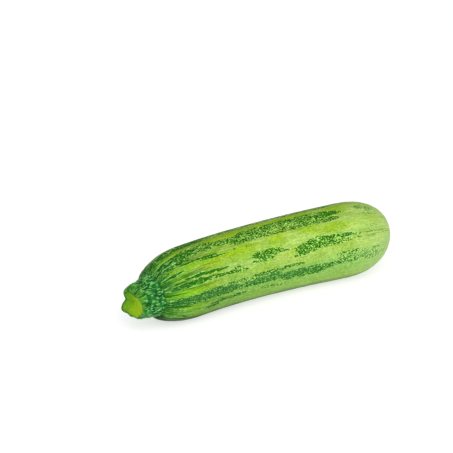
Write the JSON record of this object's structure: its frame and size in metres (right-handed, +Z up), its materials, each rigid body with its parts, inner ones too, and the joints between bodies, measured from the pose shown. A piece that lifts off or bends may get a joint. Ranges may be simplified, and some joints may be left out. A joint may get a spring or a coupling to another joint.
{
  "type": "zucchini",
  "caption": "Whole striped zucchini lying on a surface: a gently bent, softly ribbed fruit with a blunt blossom end and the ridged stub of its cut stem.",
  "frame": {"origin": "on the surface that the zucchini lies on, under the middle of its box", "axes": "+X along its length from the stem to the blossom end, +Y sideways towards the outer side of its bend, +Z up"},
  "size_m": [0.1852, 0.0508, 0.0462],
  "materials": {
    "skin": "satin vegetable skin, mottled in light and dark green bands",
    "stem": "dull blue-green stem, speckled and ridged"
  },
  "bodies": {
    "root": {"fruit": "skin", "stem_stub": "stem"}
  },
  "joints": []
}
